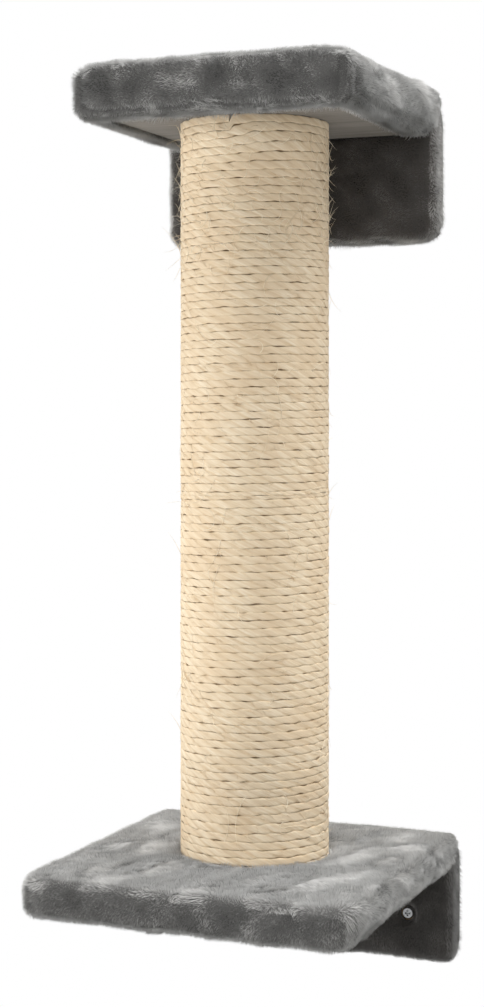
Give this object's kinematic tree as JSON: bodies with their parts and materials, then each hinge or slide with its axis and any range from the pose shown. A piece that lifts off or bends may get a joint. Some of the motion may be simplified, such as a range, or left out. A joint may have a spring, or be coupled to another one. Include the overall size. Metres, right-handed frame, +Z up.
{
  "type": "wall-mounted cat scratching post",
  "caption": "Cat scratching post for a wall: an upright sisal-wound column bolted between an upper and a lower plush-covered shelf, each with a plush wall plate that screws to the wall.",
  "frame": {"origin": "midway between the two lower wall screws, on the wall plane", "axes": "+Z up, +Y into the wall, so the post stands on the -Y side, and +X to the right seen from the front"},
  "size_m": [0.256, 0.302, 0.685],
  "materials": {
    "grey_plush": "matte",
    "grey_lining": "matte",
    "particle_board": "matte",
    "foam": "matte",
    "cardboard": "matte",
    "sisal": "matte",
    "zinc_steel": "satin"
  },
  "bodies": {
    "root": {"lower_shelf_cover": "grey_plush", "lower_wall_cover": "grey_plush", "upper_shelf_cover": "grey_plush", "upper_wall_cover": "grey_plush", "lower_shelf_lining": "grey_lining", "upper_shelf_lining": "grey_lining", "lower_shelf_board": "particle_board", "lower_wall_board": "particle_board", "upper_shelf_board": "particle_board", "upper_wall_board": "particle_board", "lower_post_plug": "particle_board", "upper_post_plug": "particle_board", "upper_shelf_pad": "foam", "post_tube": "cardboard", "sisal_rope": "sisal", "lower_joint_screws": "zinc_steel", "upper_joint_screws": "zinc_steel", "lower_wall_screws": "zinc_steel", "upper_wall_screws": "zinc_steel", "lower_post_bolt": "zinc_steel", "upper_post_bolt": "zinc_steel", "lower_bolt_washer": "zinc_steel", "upper_bolt_washer": "zinc_steel", "lower_tee_nut": "zinc_steel", "upper_tee_nut": "zinc_steel"}
  },
  "joints": []
}
